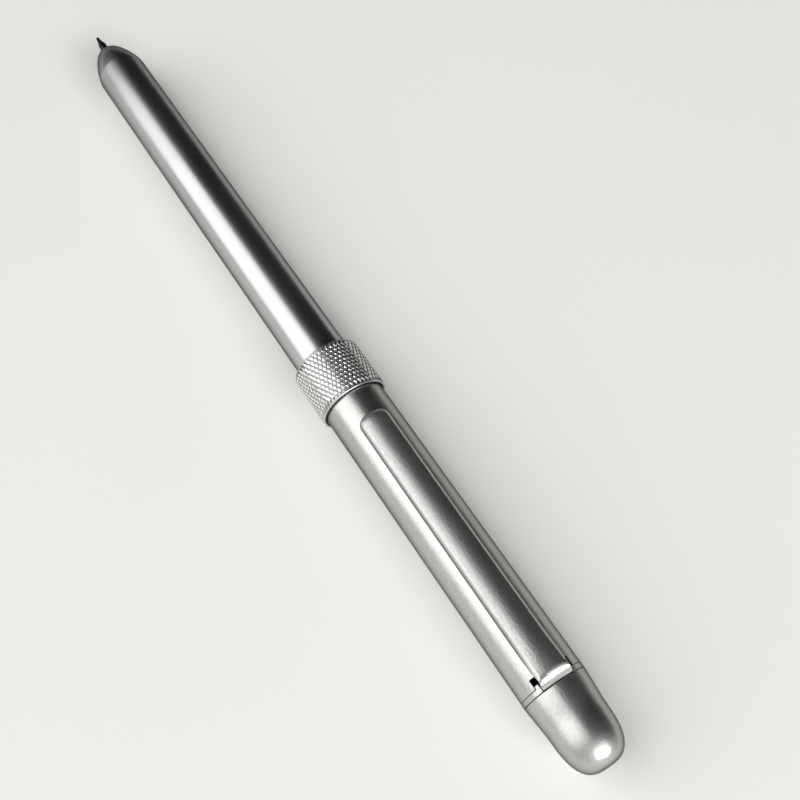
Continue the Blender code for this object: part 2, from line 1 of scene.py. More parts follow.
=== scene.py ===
import math
import bmesh
import bpy
from mathutils import Euler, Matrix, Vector


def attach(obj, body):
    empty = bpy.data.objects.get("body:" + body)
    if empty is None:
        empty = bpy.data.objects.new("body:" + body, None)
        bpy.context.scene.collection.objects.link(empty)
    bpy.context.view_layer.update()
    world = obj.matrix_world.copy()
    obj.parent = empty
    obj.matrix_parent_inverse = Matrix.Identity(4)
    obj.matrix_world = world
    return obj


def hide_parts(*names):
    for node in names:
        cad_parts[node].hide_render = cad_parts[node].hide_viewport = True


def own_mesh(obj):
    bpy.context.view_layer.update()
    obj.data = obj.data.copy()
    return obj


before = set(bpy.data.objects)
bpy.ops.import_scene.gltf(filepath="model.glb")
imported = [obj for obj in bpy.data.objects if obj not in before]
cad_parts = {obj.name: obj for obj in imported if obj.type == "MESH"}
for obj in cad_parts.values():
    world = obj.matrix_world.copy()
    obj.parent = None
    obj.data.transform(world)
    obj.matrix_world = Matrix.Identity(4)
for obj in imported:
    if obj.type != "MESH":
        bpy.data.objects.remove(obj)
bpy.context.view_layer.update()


# Front barrel
# A turned brass tube with a bullet nose, bead blasted and plated in satin chrome. It screws onto
# the centre coupler, and its bore narrows to a funnel that leads either point to the nose hole.
MM = 0.001
pen_length = 143.9
axis_height = 5.2
crease_angle = 38.0
front_radius = 4.05
front_bore = 3.55
front_tail = 62.55
nose_end = 139.2
nose_length = 5.75
nose_radius = 1.8
nose_fullness = 1.34
nose_rim_length = 0.12
nose_rim_depth = 0.14


def eased(corners):
    """The profile with every corner that carries a third number rounded over that length."""
    line = []
    for i, corner in enumerate(corners):
        here = Vector(corner[:2])
        if len(corner) < 3:
            line.append(here)
            continue
        before = Vector(corners[i - 1][:2])
        after = Vector(corners[(i + 1) % len(corners)][:2])
        start = here + (before - here).normalized() * corner[2]
        stop = here + (after - here).normalized() * corner[2]
        for k in range(5):
            share = k / 4
            line.append(start * (1 - share) ** 2 + here * 2 * share * (1 - share) + stop * share ** 2)
    return line


def smooth_object(name, work, paint, sharp=crease_angle):
    """A finished piece from a bmesh, smooth apart from edges sharper than the given angle."""
    bmesh.ops.remove_doubles(work, verts=work.verts, dist=1e-7)
    bmesh.ops.recalc_face_normals(work, faces=work.faces)
    mesh = bpy.data.meshes.new(name)
    work.to_mesh(mesh)
    work.free()
    mesh.shade_smooth()
    mesh.set_sharp_from_angle(angle=math.radians(sharp))
    mesh.materials.append(paint)
    made = bpy.data.objects.new(name, mesh)
    bpy.context.scene.collection.objects.link(made)
    return made


def turned_shape(corners, facets, base, tilt):
    """Bmesh of a profile of (station, radius) turned about its axis; it may end on the axis."""
    work = bmesh.new()
    lean = math.radians(tilt)
    forward = Vector((math.cos(lean), 0.0, math.sin(lean)))
    upward = Vector((-math.sin(lean), 0.0, math.cos(lean)))
    rings = []
    for station, radius in eased(corners):
        middle = Vector((base[0], 0.0, base[1])) + forward * station
        if radius < 1e-6:
            rings.append([work.verts.new(middle * MM)])
            continue
        ring = []
        for k in range(facets):
            angle = 2 * math.pi * k / facets
            spoke = Vector((0.0, math.cos(angle), 0.0)) + upward * math.sin(angle)
            ring.append(work.verts.new((middle + spoke * radius) * MM))
        rings.append(ring)
    pairs = list(zip(rings, rings[1:]))
    if len(rings[0]) > 1 and len(rings[-1]) > 1:
        pairs.append((rings[-1], rings[0]))
    for one, two in pairs:
        for k in range(facets):
            n = (k + 1) % facets
            if len(one) == 1:
                work.faces.new((one[0], two[k], two[n]))
            elif len(two) == 1:
                work.faces.new((one[k], two[0], one[n]))
            else:
                work.faces.new((one[k], two[k], two[n], one[n]))
    return work


def turned(name, corners, paint, facets=144, base=(-pen_length / 2, axis_height), tilt=0.0):
    """A turned piece on the pen's axis, or on the axis of a refill."""
    return smooth_object(name, turned_shape(corners, facets, base, tilt), paint)


def fullness(share, power):
    """Height of a superellipse quarter, 0 to 1, at a share of its length."""
    return (1 - (1 - share) ** power) ** (1 / power)


def add_node(tree, kind, wires=None, **settings):
    """A node with its settings, and its sockets given a value or joined to another socket."""
    made = tree.nodes.new(kind)
    for key, value in settings.items():
        setattr(made, key, value)
    for key, value in (wires or {}).items():
        if isinstance(value, bpy.types.NodeSocket):
            tree.links.new(value, made.inputs[key])
        else:
            made.inputs[key].default_value = value
    return made


def start_group(name, inputs, outputs, kind="ShaderNodeTree"):
    """An empty node group with named sockets, and its two end nodes."""
    tree = bpy.data.node_groups.new(name, kind)
    for label, socket_type, value in inputs:
        made = tree.interface.new_socket(label, in_out="INPUT", socket_type=socket_type)
        if value is not None:
            made.default_value = value
    for label, socket_type in outputs:
        tree.interface.new_socket(label, in_out="OUTPUT", socket_type=socket_type)
    return tree, tree.nodes.new("NodeGroupInput"), tree.nodes.new("NodeGroupOutput")


def blasted_grain_group():
    """Peened grain of a blasted and plated surface: a tone mask and the height of its pits."""
    tree, given, result = start_group(
        "blasted_grain",
        [("Vector", "NodeSocketVector", None), ("Grains per metre", "NodeSocketFloat", 7000.0)],
        [("Tone", "NodeSocketFloat"), ("Height", "NodeSocketFloat")],
    )
    grains = given.outputs["Grains per metre"]
    fine = add_node(tree, "ShaderNodeTexNoise", {
        "Vector": given.outputs["Vector"], "Scale": grains, "Detail": 3.0, "Roughness": 0.65})
    pits = add_node(tree, "ShaderNodeTexVoronoi", {
        "Vector": given.outputs["Vector"], "Scale": grains, "Smoothness": 0.6}, feature="SMOOTH_F1")
    tone = add_node(tree, "ShaderNodeMapRange", {
        "Value": fine.outputs["Fac"], "From Min": 0.3, "From Max": 0.7})
    mixed = add_node(tree, "ShaderNodeMath", {
        0: pits.outputs["Distance"], 1: 0.6, 2: fine.outputs["Fac"]}, operation="MULTIPLY_ADD")
    tree.links.new(tone.outputs["Result"], result.inputs["Tone"])
    tree.links.new(mixed.outputs["Value"], result.inputs["Height"])
    return tree


def handling_haze_group():
    """Cloudy film that hands leave on metal, drawn out along the pen: a mask from 0 to 1."""
    tree, given, result = start_group(
        "handling_haze",
        [("Vector", "NodeSocketVector", None), ("Clouds per metre", "NodeSocketFloat", 120.0)],
        [("Haze", "NodeSocketFloat")],
    )
    drawn = add_node(tree, "ShaderNodeMapping", {
        "Vector": given.outputs["Vector"], "Scale": (0.35, 1.0, 1.0)})
    cloud = add_node(tree, "ShaderNodeTexNoise", {
        "Vector": drawn.outputs["Vector"], "Scale": given.outputs["Clouds per metre"],
        "Detail": 4.0, "Roughness": 0.6, "Distortion": 0.4})
    mask = add_node(tree, "ShaderNodeMapRange", {
        "Value": cloud.outputs["Fac"], "From Min": 0.32, "From Max": 0.68})
    tree.links.new(mask.outputs["Result"], result.inputs["Haze"])
    return tree


blasted_grain = blasted_grain_group()
handling_haze = handling_haze_group()


def place_group(tree, group, wires):
    """One use of a shader node group with its own values."""
    return add_node(tree, "ShaderNodeGroup", wires, node_tree=group)


def start_material(name, metallic):
    """A material, its tree, its Principled shader and its Object coordinates."""
    made = bpy.data.materials.new(name)
    made.use_nodes = True
    tree = made.node_tree
    shader = tree.nodes["Principled BSDF"]
    shader.inputs["Metallic"].default_value = metallic
    place = tree.nodes.new("ShaderNodeTexCoord").outputs["Object"]
    return made, tree, shader, place


def colour_mix(tree, mask, low, high):
    """A colour that runs from low to high with the mask; low may be the output of another node."""
    if not isinstance(low, bpy.types.NodeSocket):
        low = (*low, 1.0)
    made = add_node(tree, "ShaderNodeMix", {"Factor": mask, "A": low, "B": (*high, 1.0)}, data_type="RGBA")
    return made.outputs["Result"]


def value_range(tree, mask, low, high):
    """A value that runs from low to high with the mask."""
    made = add_node(tree, "ShaderNodeMapRange", {"Value": mask, "To Min": low, "To Max": high})
    return made.outputs["Result"]


def add_relief(tree, shader, height, strength, depth):
    """Lay a fine relief over the surface; depth in millimetres."""
    relief = add_node(tree, "ShaderNodeBump", {
        "Strength": strength, "Distance": depth * MM, "Height": height})
    tree.links.new(relief.outputs["Normal"], shader.inputs["Normal"])


def satin_plating(name, dark, light, roughness, edge, grains=7000.0, bump=0.10):
    """Blasted metal under satin chrome: fine grain in tone and height, with a film of handling."""
    made, tree, shader, place = start_material(name, 1.0)
    shader.inputs["Specular Tint"].default_value = (edge, edge, edge, 1.0)
    grain = place_group(tree, blasted_grain, {"Vector": place, "Grains per metre": grains})
    haze = place_group(tree, handling_haze, {"Vector": place})
    tone = add_node(tree, "ShaderNodeMath", {
        0: haze.outputs["Haze"], 1: 0.25, 2: grain.outputs["Tone"]}, operation="MULTIPLY_ADD")
    spread = add_node(tree, "ShaderNodeMath", {0: tone.outputs["Value"], 1: 0.8}, operation="MULTIPLY")
    tree.links.new(colour_mix(tree, spread.outputs["Value"], dark, light), shader.inputs["Base Color"])
    rough = value_range(tree, haze.outputs["Haze"], roughness - 0.03, roughness + 0.04)
    tree.links.new(rough, shader.inputs["Roughness"])
    add_relief(tree, shader, grain.outputs["Height"], bump, 0.03)
    return made


front_metal = satin_plating("front_satin", (0.51, 0.51, 0.51), (0.58, 0.58, 0.58), 0.29, 0.06, 9000.0, 0.10)

front_corners = [(nose_end, nose_radius - nose_rim_depth, 0.05)]
for i in range(41):
    share = i / 40
    swell = (front_radius - nose_radius) * fullness(share, nose_fullness)
    front_corners.append((nose_end - nose_rim_length - nose_length * share, nose_radius + swell))
for station in (120.0, 105.0, 90.0, 75.0):
    front_corners.append((station, front_radius))
front_corners += [
    (front_tail, front_radius, 0.06),
    (front_tail, front_bore, 0.06),
    (125.7, front_bore),
    (129.7, 3.365),
    (133.3, 3.055),
    (135.3, 2.845),
    (138.0, 2.05),
    (138.9, 1.57),
    (139.1, 1.55),
    (nose_end, 1.60),
]
front_barrel = turned("front_barrel_shell", front_corners, front_metal, facets=160)
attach(front_barrel, "front")
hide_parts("front_barrel")


# Knurled ring
# A turned brass ring with a rolled diamond knurl, plated like the barrels. It is clamped between
# the coupler's step and the front barrel, and a plain lip closes the knurl at its rear edge.
ring_rear = 58.25
ring_front = 66.45
ring_step = 62.35
ring_wide_bore = 4.78
ring_narrow_bore = 4.13
knurl_low = 4.96
knurl_high = 5.20
knurl_around = 48
knurl_rows = 11
knurl_front = ring_front - 0.18
knurl_rear = ring_rear + 0.26
knurl_pitch = (knurl_front - knurl_rear) / (knurl_rows + 1)
knurl_half_turn = 180.0 / knurl_around


def knurl_plating_with_painted_shade():
    """Plated metal painted darker in the grooves and lighter on the points by their depth: painted shade
    and a painted highlight.
    """
    made, tree, shader, place = start_material("knurled_metal", 1.0)
    grain = place_group(tree, blasted_grain, {"Vector": place, "Grains per metre": 9000.0})
    parts = add_node(tree, "ShaderNodeSeparateXYZ", {"Vector": place})
    lifted = add_node(tree, "ShaderNodeMath", {
        0: parts.outputs["Z"], 1: axis_height * MM}, operation="SUBTRACT")
    spoke = add_node(tree, "ShaderNodeCombineXYZ", {"Y": parts.outputs["Y"], "Z": lifted.outputs["Value"]})
    radius = add_node(tree, "ShaderNodeVectorMath", {0: spoke.outputs["Vector"]}, operation="LENGTH")
    height = add_node(tree, "ShaderNodeMapRange", {
        "Value": radius.outputs["Value"],
        "From Min": (knurl_low - 0.01) * MM, "From Max": (knurl_high - 0.03) * MM})
    tone = add_node(tree, "ShaderNodeMath", {
        0: grain.outputs["Tone"], 1: 0.15, 2: height.outputs["Result"]}, operation="MULTIPLY_ADD")
    # Painted shade and highlight: the colour runs from dark at the bottom of the grooves to light on the
    # points.
    colour = colour_mix(tree, tone.outputs["Value"], (0.36, 0.36, 0.36), (0.86, 0.86, 0.85))
    tree.links.new(colour, shader.inputs["Base Color"])
    tree.links.new(value_range(tree, height.outputs["Result"], 0.38, 0.18), shader.inputs["Roughness"])
    add_relief(tree, shader, grain.outputs["Height"], 0.06, 0.02)
    return made


knurled_metal = knurl_plating_with_painted_shade()


def knurl_point(station, turn, radius):
    """A point on the ring, station along it and turn in degrees around it, for a tile at the top."""
    angle = math.radians(turn)
    return Vector((station, -radius * math.sin(angle), radius * math.cos(angle))) * MM


def loose_object(name, points, faces):
    """A small tile that the ring's node tree repeats."""
    mesh = bpy.data.meshes.new(name)
    mesh.from_pydata(points, [], faces)
    made = bpy.data.objects.new(name, mesh)
    bpy.context.scene.collection.objects.link(made)
    return made


def knurl_diamond():
    """One knurl point: four corners in the grooves, eased flanks and a small worn flat on top."""
    steps = [(1.0, 0.0), (0.90, 0.12), (0.60, 0.90), (0.50, 0.985)]
    points = []
    for share, rise in steps:
        radius = knurl_low + (knurl_high - knurl_low) * rise
        points.append(knurl_point(knurl_pitch * share, 0.0, radius))
        points.append(knurl_point(0.0, knurl_half_turn * share, radius))
        points.append(knurl_point(-knurl_pitch * share, 0.0, radius))
        points.append(knurl_point(0.0, -knurl_half_turn * share, radius))
    points.append(knurl_point(0.0, 0.0, knurl_high))
    faces = []
    for ring in range(len(steps) - 1):
        for k in range(4):
            n = (k + 1) % 4
            faces.append((ring * 4 + k, ring * 4 + n, ring * 4 + 4 + n, ring * 4 + 4 + k))
    last = (len(steps) - 1) * 4
    for k in range(4):
        faces.append((last + k, last + (k + 1) % 4, last + 4))
    return loose_object("knurl_diamond", points, faces)


def knurl_gap():
    """The flat triangle between two points of an end row and the edge of the knurl."""
    points = [
        knurl_point(0.0, -knurl_half_turn, knurl_low),
        knurl_point(0.0, 0.0, knurl_low),
        knurl_point(0.0, knurl_half_turn, knurl_low),
        knurl_point(-knurl_pitch, 0.0, knurl_low),
    ]
    return loose_object("knurl_gap", points, [(0, 1, 3), (1, 2, 3)])


def knurl_tree():
    """Node tree that lays rows of diamonds round the ring, and the flat gaps at both ends."""
    tree, given, result = start_group(
        "diamond_knurl",
        [
            ("Geometry", "NodeSocketGeometry", None),
            ("Diamond", "NodeSocketObject", None),
            ("Gap", "NodeSocketObject", None),
            ("Around", "NodeSocketInt", 8),
            ("Rows", "NodeSocketInt", 3),
            ("Front", "NodeSocketFloat", 0.0),
            ("Pitch", "NodeSocketFloat", 0.001),
            ("Axis height", "NodeSocketFloat", 0.0),
            ("Finish", "NodeSocketMaterial", None),
        ],
        [("Geometry", "NodeSocketGeometry")],
        "GeometryNodeTree",
    )
    tree.is_modifier = True
    around = given.outputs["Around"]

    def sums(operation, first, second=None):
        """The output of one math node."""
        wires = {0: first} if second is None else {0: first, 1: second}
        return add_node(tree, "ShaderNodeMath", wires, operation=operation).outputs["Value"]

    def laid(count, row, turn, tile, flip):
        """A tile on each of so many points, by row along the ring and turn around it."""
        position = add_node(tree, "ShaderNodeCombineXYZ", {
            "X": sums("SUBTRACT", given.outputs["Front"], sums("MULTIPLY", row, given.outputs["Pitch"])),
            "Z": given.outputs["Axis height"]}).outputs["Vector"]
        points = add_node(tree, "GeometryNodePoints", {"Count": count, "Position": position})
        angles = add_node(tree, "ShaderNodeCombineXYZ", {"X": turn, "Z": math.pi if flip else 0.0})
        turns = add_node(tree, "FunctionNodeEulerToRotation", {"Euler": angles.outputs["Vector"]})
        shape = add_node(tree, "GeometryNodeObjectInfo", {"Object": given.outputs[tile]})
        return add_node(tree, "GeometryNodeInstanceOnPoints", {
            "Points": points.outputs["Geometry"], "Instance": shape.outputs["Geometry"],
            "Rotation": turns.outputs["Rotation"]}).outputs["Instances"]

    index = add_node(tree, "GeometryNodeInputIndex").outputs["Index"]
    step = sums("DIVIDE", 2 * math.pi, around)
    row = sums("FLOOR", sums("DIVIDE", sums("ADD", index, 0.5), around))
    column = sums("SUBTRACT", index, sums("MULTIPLY", row, around))
    shift = sums("MULTIPLY", sums("MODULO", sums("ADD", row, 1.0), 2.0), 0.5)
    diamonds = laid(
        sums("MULTIPLY", around, given.outputs["Rows"]),
        sums("ADD", row, 1.0), sums("MULTIPLY", sums("ADD", column, shift), step), "Diamond", False)
    front_gaps = laid(around, 0.0, sums("MULTIPLY", index, step), "Gap", False)
    last_row = sums("ADD", given.outputs["Rows"], 1.0)
    last_shift = sums("MULTIPLY", sums("MODULO", last_row, 2.0), 0.5)
    rear_turn = sums("MULTIPLY", sums("ADD", index, last_shift), step)
    rear_gaps = laid(around, last_row, sums("MULTIPLY", rear_turn, -1.0), "Gap", True)
    joined = add_node(tree, "GeometryNodeJoinGeometry")
    for piece in (given.outputs["Geometry"], diamonds, front_gaps, rear_gaps):
        tree.links.new(piece, joined.inputs["Geometry"])
    real = add_node(tree, "GeometryNodeRealizeInstances", {"Geometry": joined.outputs["Geometry"]})
    welded = add_node(tree, "GeometryNodeMergeByDistance", {
        "Geometry": real.outputs["Geometry"], "Distance": 0.004 * MM})
    painted = add_node(tree, "GeometryNodeSetMaterial", {
        "Geometry": welded.outputs["Geometry"], "Material": given.outputs["Finish"]})
    tree.links.new(painted.outputs["Geometry"], result.inputs["Geometry"])
    return tree


def applied_shape(source):
    """Bmesh of an object with its modifiers applied; the object itself goes."""
    graph = bpy.context.evaluated_depsgraph_get()
    mesh = bpy.data.meshes.new_from_object(source.evaluated_get(graph))
    bpy.data.objects.remove(source)
    work = bmesh.new()
    work.from_mesh(mesh)
    bpy.data.meshes.remove(mesh)
    return work


def grown(name, carrier, tree, values, sharp):
    """A plain piece from a carrier object and a geometry node tree with its named inputs set."""
    growth = carrier.modifiers.new("growth", "NODES")
    growth.node_group = tree
    for socket in tree.interface.items_tree:
        if socket.in_out == "INPUT" and socket.name in values:
            growth[socket.identifier] = values[socket.name]
    return smooth_object(name, applied_shape(carrier), values["Finish"], sharp)


def build_ring():
    """The ring's turned body without its knurl, then the knurl by node tree."""
    corners = [
        (knurl_rear, knurl_low),
        (ring_rear + 0.21, 5.00),
        (ring_rear + 0.16, 5.07, 0.03),
        (ring_rear + 0.08, 5.08, 0.04),
        (ring_rear, 5.0, 0.05),
        (ring_rear, ring_wide_bore, 0.04),
        (ring_step, ring_wide_bore),
        (ring_step, ring_narrow_bore),
        (ring_front, ring_narrow_bore, 0.06),
        (ring_front, 4.86, 0.05),
        (ring_front - 0.10, knurl_low, 0.05),
        (knurl_front, knurl_low),
    ]
    work = turned_shape(corners, 2 * knurl_around, (-pen_length / 2, axis_height), 0.0)
    middle = (knurl_front + knurl_rear) / 2 - pen_length / 2
    closing = []
    for face in work.faces:
        radii = [math.hypot(v.co.y, v.co.z - axis_height * MM) / MM for v in face.verts]
        is_low = all(abs(radius - knurl_low) < 0.001 for radius in radii)
        if is_low and abs(face.calc_center_median().x / MM - middle) < 0.5:
            closing.append(face)
    bmesh.ops.delete(work, geom=closing, context="FACES_ONLY")
    carrier = smooth_object("ring_body", work, knurled_metal)
    diamond = knurl_diamond()
    gap = knurl_gap()
    made = grown("knurled_ring_rolled", carrier, knurl_tree(), {
        "Diamond": diamond, "Gap": gap, "Around": knurl_around, "Rows": knurl_rows,
        "Front": (knurl_front - pen_length / 2) * MM, "Pitch": knurl_pitch * MM,
        "Axis height": axis_height * MM, "Finish": knurled_metal}, 24.0)
    bpy.data.objects.remove(diamond)
    bpy.data.objects.remove(gap)
    return made


knurled_ring = build_ring()
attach(knurled_ring, "front")
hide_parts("knurled_ring")


# Centre coupler, refill guide and plain turned parts inside
# Unplated brass: a stepped sleeve that screws into the front barrel, the drilled carrier that slides
# in it, and the pencil's chuck with its ring. The guide pin, the split ring on the carrier and the
# pencil's tube are steel. All show the fine rings that the lathe tool leaves.


def turning_lines_group():
    """Fine rings that a lathe tool leaves: a mask that only changes along the pen."""
    tree, given, result = start_group(
        "turning_lines",
        [("Vector", "NodeSocketVector", None), ("Rings per metre", "NodeSocketFloat", 6000.0)],
        [("Lines", "NodeSocketFloat")],
    )
    parts = add_node(tree, "ShaderNodeSeparateXYZ", {"Vector": given.outputs["Vector"]})
    flat = add_node(tree, "ShaderNodeCombineXYZ", {"X": parts.outputs["X"]})
    rings = add_node(tree, "ShaderNodeTexNoise", {
        "Vector": flat.outputs["Vector"], "Scale": given.outputs["Rings per metre"], "Detail": 3.0})
    mask = add_node(tree, "ShaderNodeMapRange", {
        "Value": rings.outputs["Fac"], "From Min": 0.35, "From Max": 0.65})
    tree.links.new(mask.outputs["Result"], result.inputs["Lines"])
    return tree


turning_lines = turning_lines_group()


def turned_metal(name, dark, light, roughness, rings=6000.0):
    """Bare turned metal with tool rings in its tone, its gloss and its height."""
    made, tree, shader, place = start_material(name, 1.0)
    lines = place_group(tree, turning_lines, {"Vector": place, "Rings per metre": rings}).outputs["Lines"]
    haze = place_group(tree, handling_haze, {"Vector": place, "Clouds per metre": 300.0}).outputs["Haze"]
    tone = add_node(tree, "ShaderNodeMath", {0: haze, 1: lines}, operation="ADD")
    half = add_node(tree, "ShaderNodeMath", {0: tone.outputs["Value"], 1: 0.5}, operation="MULTIPLY")
    tree.links.new(colour_mix(tree, half.outputs["Value"], dark, light), shader.inputs["Base Color"])
    tree.links.new(value_range(tree, lines, roughness - 0.05, roughness + 0.06), shader.inputs["Roughness"])
    add_relief(tree, shader, lines, 0.12, 0.02)
    return made


def finish_nodes(paint, *names):
    """Give inner pieces that keep their shape their finish."""
    for name in names:
        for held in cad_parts[name].material_slots:
            held.material = paint


brass = turned_metal("brass", (0.62, 0.44, 0.19), (0.76, 0.58, 0.28), 0.32)
steel = turned_metal("steel", (0.50, 0.51, 0.52), (0.62, 0.63, 0.64), 0.26)
finish_nodes(brass, "centre_coupler", "refill_guide", "chuck", "chuck_ring")
finish_nodes(steel, "guide_pin", "retaining_ring", "pencil_body")


# Springs
# Four coils of drawn spring wire: a wide one under the carrier that is squeezed when the pen is
# pressed, one on each slider that brings it back, and a thin one that shuts the pencil's chuck.
black_lane = 2.975
pencil_lane = 7.425


def coil_tree():
    """Node tree that draws one coil of round wire along the pen."""
    tree, given, result = start_group(
        "wire_coil",
        [
            ("Geometry", "NodeSocketGeometry", None),
            ("Turns", "NodeSocketFloat", 4.0),
            ("Radius", "NodeSocketFloat", 0.001),
            ("Wire", "NodeSocketFloat", 0.0003),
            ("Length", "NodeSocketFloat", 0.005),
            ("Place", "NodeSocketVector", None),
            ("Finish", "NodeSocketMaterial", None),
        ],
        [("Geometry", "NodeSocketGeometry")],
        "GeometryNodeTree",
    )
    tree.is_modifier = True
    rise = add_node(tree, "ShaderNodeMath", {
        0: given.outputs["Length"], 1: given.outputs["Wire"]}, operation="SUBTRACT").outputs["Value"]
    spiral = add_node(tree, "GeometryNodeCurveSpiral", {
        "Resolution": 28, "Rotations": given.outputs["Turns"], "Start Radius": given.outputs["Radius"],
        "End Radius": given.outputs["Radius"], "Height": rise})
    half = add_node(tree, "ShaderNodeMath", {
        0: given.outputs["Wire"], 1: 0.5}, operation="MULTIPLY").outputs["Value"]
    section = add_node(tree, "GeometryNodeCurvePrimitiveCircle", {"Resolution": 10, "Radius": half})
    wire = add_node(tree, "GeometryNodeCurveToMesh", {
        "Curve": spiral.outputs["Curve"], "Profile Curve": section.outputs["Curve"], "Fill Caps": True})
    offset = add_node(tree, "ShaderNodeCombineXYZ", {"X": half}).outputs["Vector"]
    place = add_node(tree, "ShaderNodeVectorMath", {0: given.outputs["Place"], 1: offset}, operation="ADD")
    laid = add_node(tree, "GeometryNodeTransform", {
        "Geometry": wire.outputs["Mesh"], "Translation": place.outputs["Vector"],
        "Rotation": Euler((0.0, math.pi / 2, 0.0))})
    real = add_node(tree, "GeometryNodeRealizeInstances", {"Geometry": laid.outputs["Geometry"]})
    painted = add_node(tree, "GeometryNodeSetMaterial", {
        "Geometry": real.outputs["Geometry"], "Material": given.outputs["Finish"]})
    tree.links.new(painted.outputs["Geometry"], result.inputs["Geometry"])
    return tree


spring_steel = turned_metal("spring_steel", (0.38, 0.39, 0.41), (0.52, 0.53, 0.55), 0.28, 9000.0)
wire_coil = coil_tree()


def spring(name, node, body, turns, radius, wire, start, length, height):
    """One coil from a station along the pen, at a height over the floor."""
    carrier = bpy.data.objects.new(name + "_start", bpy.data.meshes.new(name))
    bpy.context.scene.collection.objects.link(carrier)
    made = grown(name, carrier, wire_coil, {
        "Turns": turns, "Radius": radius * MM, "Wire": wire * MM, "Length": length * MM,
        "Place": ((start - pen_length / 2) * MM, 0.0, height * MM), "Finish": spring_steel}, 60.0)
    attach(made, body)
    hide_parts(node)
    return made


press_coil = spring(
    "press_coil", "press_spring", "front",
    turns=2.75, radius=3.3425, wire=0.34, start=58.45, length=3.3, height=axis_height)
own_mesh(press_coil)
spring(
    "black_coil", "black_spring", "carrier",
    turns=6.0, radius=0.89, wire=0.30, start=52.05, length=4.7, height=black_lane)
pencil_coil = spring(
    "pencil_coil", "pencil_spring", "carrier",
    turns=6.0, radius=0.89, wire=0.30, start=42.45, length=14.3, height=pencil_lane)
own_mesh(pencil_coil)
spring(
    "feed_coil", "feed_spring", "pencil_unit",
    turns=6.0, radius=0.705, wire=0.16, start=120.537, length=4.0, height=pencil_lane)


# Sliders, selector cam and lead tank
# Moulded parts: two black push rods that carry the refills and ride on the cam, the grey ramp tube
# that turns with the rear barrel, and the grey tube that stores spare leads.


def moulded_plastic(name, dark, light, roughness):
    """Moulded plastic with the faint texture of its tool."""
    made, tree, shader, place = start_material(name, 0.0)
    grain = place_group(tree, blasted_grain, {"Vector": place, "Grains per metre": 5000.0})
    tree.links.new(colour_mix(tree, grain.outputs["Tone"], dark, light), shader.inputs["Base Color"])
    rough = value_range(tree, grain.outputs["Tone"], roughness - 0.05, roughness + 0.05)
    tree.links.new(rough, shader.inputs["Roughness"])
    add_relief(tree, shader, grain.outputs["Height"], 0.08, 0.03)
    return made


black_plastic = moulded_plastic("black_plastic", (0.022, 0.022, 0.025), (0.04, 0.04, 0.045), 0.42)
grey_plastic = moulded_plastic("grey_plastic", (0.28, 0.29, 0.30), (0.36, 0.37, 0.38), 0.5)
finish_nodes(black_plastic, "black_slider", "pencil_slider")
finish_nodes(grey_plastic, "selector_cam", "lead_tank")


# Ballpoint refill
# A drawn brass ink tube with a stepped steel point pressed into its end and a ball in the point.
# It is pushed onto its slider's nib, and leans so that its tip lies on the pen's axis at the nose.
black_pivot = (4.987, black_lane)
black_lean = 1.9031
tube_length = 58.0
tube_radius = 1.175
tube_bore = 0.78
cone_start = 140.45
ball_middle = 66.83
ball_radius = 0.17
ink_tube = turned_metal("ink_tube", (0.54, 0.42, 0.21), (0.68, 0.55, 0.32), 0.30, 4000.0)
point_steel = turned_metal("point_steel", (0.52, 0.51, 0.50), (0.66, 0.65, 0.64), 0.24, 9000.0)


def darken_tip(paint, start, shade):
    """Make the cone in front of a station along the pen darker."""
    edge = start - pen_length / 2
    blur = 0.08
    tree = paint.node_tree
    base = tree.nodes["Principled BSDF"].inputs["Base Color"]
    place = tree.nodes.new("ShaderNodeTexCoord").outputs["Object"]
    parts = add_node(tree, "ShaderNodeSeparateXYZ", {"Vector": place})
    tip = add_node(tree, "ShaderNodeMapRange", {
        "Value": parts.outputs["X"], "From Min": (edge - blur) * MM, "From Max": (edge + blur) * MM})
    tree.links.new(colour_mix(tree, tip.outputs["Result"], base.links[0].from_socket, shade), base)


darken_tip(point_steel, cone_start, (0.06, 0.06, 0.06))
ball_steel = turned_metal("ball_steel", (0.30, 0.30, 0.31), (0.38, 0.38, 0.39), 0.12, 9000.0)
refill_tube = turned("black_refill_drawn", [
    (tube_length, tube_radius, 0.05),
    (54.2, tube_radius),
    (53.9, 1.10, 0.1),
    (53.6, tube_radius),
    (0.0, tube_radius, 0.05),
    (0.0, tube_bore, 0.05),
    (tube_length, tube_bore, 0.05),
], ink_tube, 48, black_pivot, black_lean)
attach(refill_tube, "black_refill")
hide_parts("black_refill_tube")
writing_point = turned("black_point_turned", [
    (66.86, 0.21),
    (66.82, 0.25, 0.02),
    (65.05, 0.54, 0.04),
    (65.00, 0.68, 0.05),
    (62.60, 0.776, 0.1),
    (61.40, 0.975, 0.1),
    (58.10, 1.1045, 0.04),
    (58.10, 0.68),
    (54.50, 0.68, 0.05),
    (54.50, 0.35),
    (64.60, 0.35),
    (66.50, 0.21),
], point_steel, 64, black_pivot, black_lean)
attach(writing_point, "black_refill")
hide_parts("black_point")
ball_corners = []
for i in range(17):
    angle = math.pi * i / 16
    ball_corners.append((ball_middle + ball_radius * math.cos(angle), ball_radius * math.sin(angle)))
writing_ball = turned("black_ball_ground", ball_corners, ball_steel, 32, black_pivot, black_lean)
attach(writing_ball, "black_refill")
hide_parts("black_ball")


# Pencil unit
# A mechanical pencil the size of a refill: steel tube and cone, a thin drawn sleeve that guides the
# lead, and the brass chuck inside that grips it. It sits on the other slider.
pencil_pivot = (-4.613, pencil_lane)


